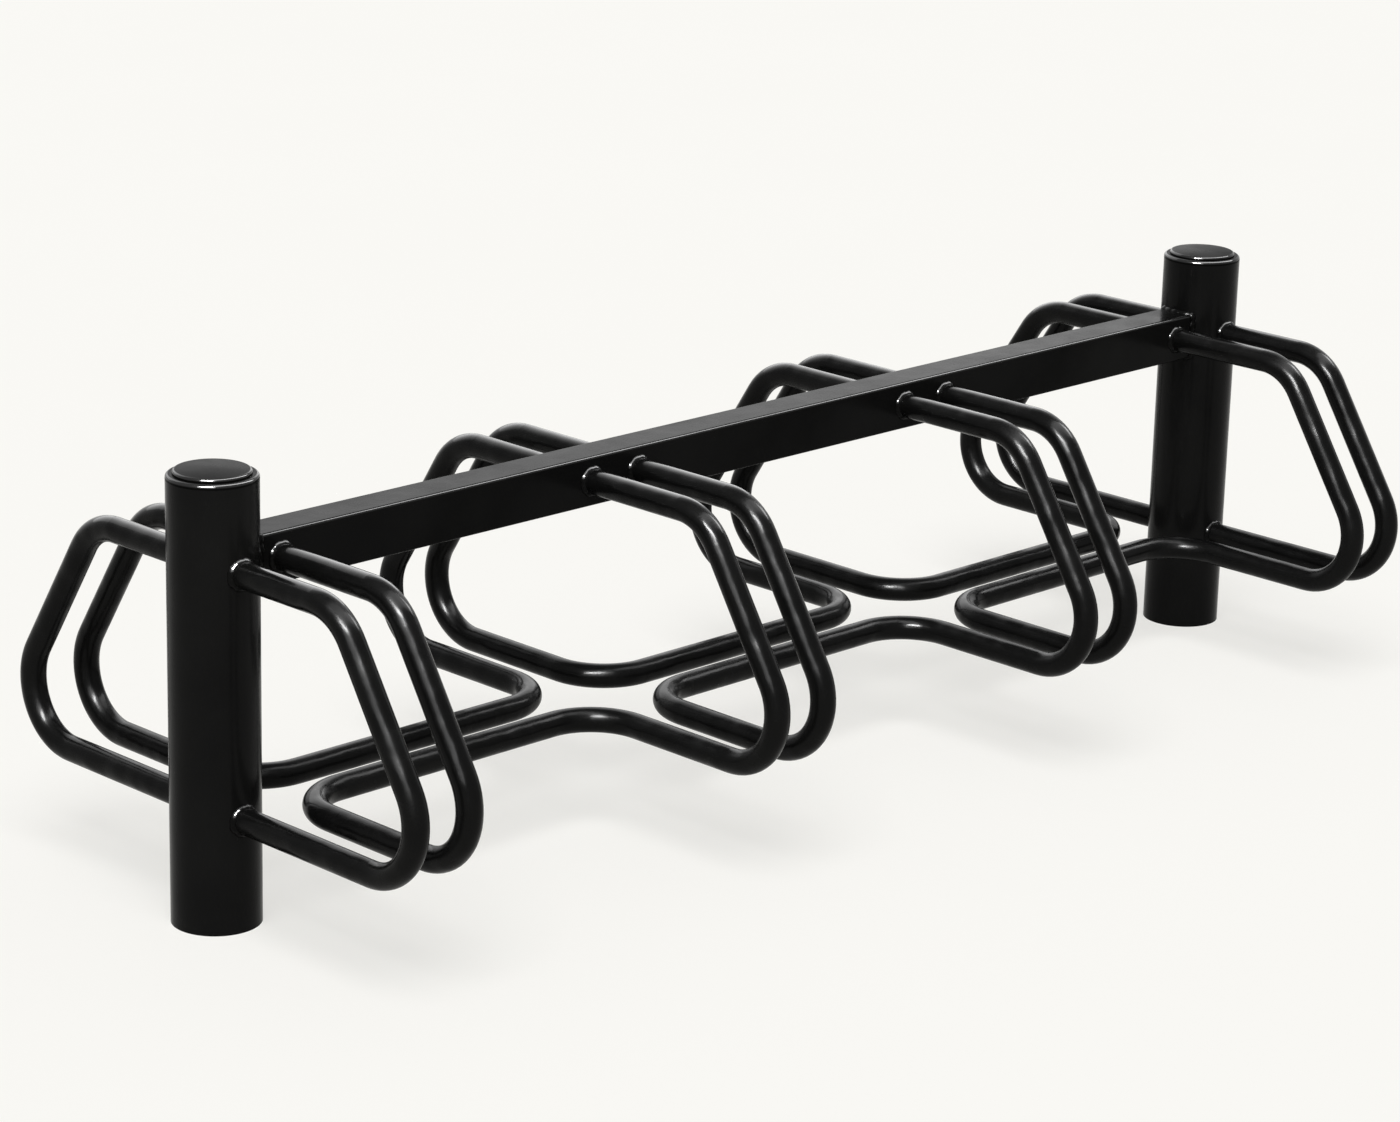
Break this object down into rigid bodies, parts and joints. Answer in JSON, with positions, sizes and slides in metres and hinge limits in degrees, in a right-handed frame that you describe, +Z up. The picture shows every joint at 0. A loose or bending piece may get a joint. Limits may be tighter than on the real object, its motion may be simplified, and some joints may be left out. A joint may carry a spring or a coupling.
{
  "type": "bike stand",
  "caption": "Low double-sided bike stand: round posts carry a box rail with pairs of bent tubes on both sides that hold bicycle wheels upright.",
  "frame": {"origin": "on the floor, midway between the two posts", "axes": "+X along the rail, +Z up, the front of the stand faces -Y"},
  "size_m": [1.7966, 0.6936, 0.52],
  "materials": {
    "coated_steel": "gloss black powder coat",
    "weld_bead": "gloss black powder coat over rippled weld",
    "cap_plastic": "gloss black moulded plastic"
  },
  "bodies": {
    "root": {"post_left": "coated_steel", "post_right": "coated_steel", "cap_left": "cap_plastic", "cap_right": "cap_plastic", "rail": "coated_steel", "loop_left_front": "coated_steel", "loop_left_back": "coated_steel", "loop_right_front": "coated_steel", "loop_right_back": "coated_steel", "link_front_1": "coated_steel", "link_front_2": "coated_steel", "link_front_3": "coated_steel", "link_back_1": "coated_steel", "link_back_2": "coated_steel", "link_back_3": "coated_steel", "rail_weld_left": "weld_bead", "rail_weld_right": "weld_bead", "loop_welds_left": "weld_bead", "loop_welds_right": "weld_bead", "link_welds_front": "weld_bead", "link_welds_back": "weld_bead"}
  },
  "joints": []
}
